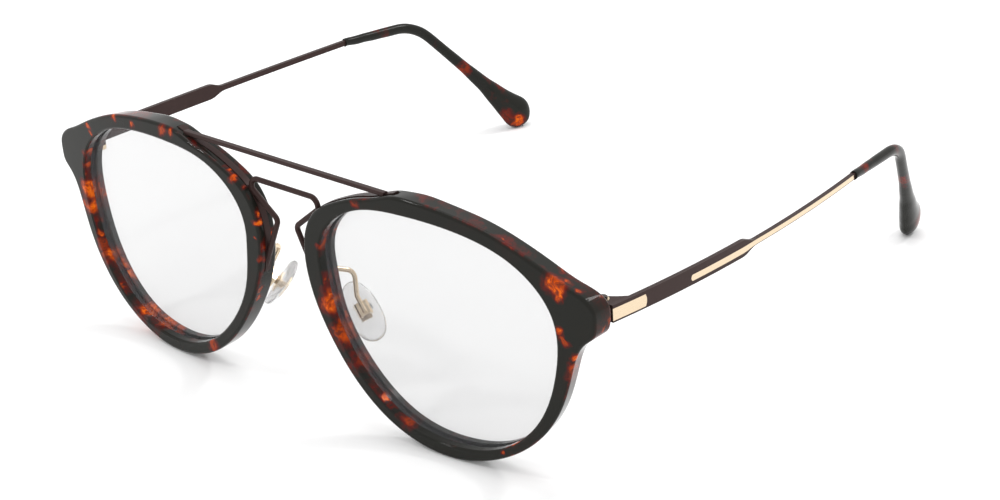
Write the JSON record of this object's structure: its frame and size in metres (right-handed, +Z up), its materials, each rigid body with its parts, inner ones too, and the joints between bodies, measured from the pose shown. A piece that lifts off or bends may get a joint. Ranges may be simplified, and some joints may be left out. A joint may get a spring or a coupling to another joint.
{
  "type": "full rim eyeglasses",
  "caption": "Full rim eyeglasses with a metal double bridge, soft nose pads on wire arms, and slim metal temples that fold on hinges and end in bent acetate tips.",
  "frame": {"origin": "on the ground plane under the middle of the glasses, where they stand on the bottoms of both rims and both tips with the temples open", "axes": "+X to the wearer's left, +Y back towards the ears, +Z up; the front faces -Y"},
  "size_m": [0.1426, 0.1332, 0.0503],
  "materials": {
    "tortoise_acetate": "polished dark tortoiseshell acetate with amber and red patches",
    "clear_lens": "clear polished plastic lens",
    "brown_metal": "satin dark brown lacquer on metal",
    "gold_metal": "satin champagne gold plating",
    "steel": "small turned screws",
    "clear_silicone": "clear soft silicone"
  },
  "bodies": {
    "front": {"rim_left": "tortoise_acetate", "rim_right": "tortoise_acetate", "lens_left": "clear_lens", "lens_right": "clear_lens", "bridge_band_left": "brown_metal", "bridge_band_right": "brown_metal", "pad_arm_left": "gold_metal", "pad_arm_right": "gold_metal", "pad_box_left": "gold_metal", "pad_box_right": "gold_metal", "pad_screw_left": "steel", "pad_screw_right": "steel", "hinge_front_left": "gold_metal", "hinge_front_right": "gold_metal", "hinge_screw_left": "steel", "hinge_screw_right": "steel", "brow_bar": "brown_metal", "bridge_wire": "brown_metal"},
    "temple_left": {"hinge_temple_left": "brown_metal", "temple_left": "brown_metal", "inlay_short_left": "gold_metal", "inlay_long_left": "gold_metal", "temple_tip_left": "tortoise_acetate"},
    "temple_right": {"hinge_temple_right": "brown_metal", "temple_right": "brown_metal", "inlay_short_right": "gold_metal", "inlay_long_right": "gold_metal", "temple_tip_right": "tortoise_acetate"},
    "pad_left": {"pad_insert_left": "gold_metal", "nose_pad_left": "clear_silicone"},
    "pad_right": {"pad_insert_right": "gold_metal", "nose_pad_right": "clear_silicone"}
  },
  "joints": [
    {"name": "fold_left", "type": "hinge", "parent": "front", "child": "temple_left", "pos_m": [0.0664, -0.05403, 0.0347], "axis": [0, 0, 1], "range_deg": [0, 78]},
    {"name": "fold_right", "type": "hinge", "parent": "front", "child": "temple_right", "pos_m": [-0.0664, -0.05403, 0.0347], "axis": [0, 0, -1], "range_deg": [0, 84]},
    {"name": "pad_rock_left", "type": "hinge", "parent": "front", "child": "pad_left", "pos_m": [0.01253, -0.05905, 0.02075], "axis": [0.4661, 0.8319, 0.3012], "range_deg": [-10, 10]},
    {"name": "pad_rock_right", "type": "hinge", "parent": "front", "child": "pad_right", "pos_m": [-0.01253, -0.05905, 0.02075], "axis": [0.4661, -0.8319, -0.3012], "range_deg": [-10, 10]}
  ]
}
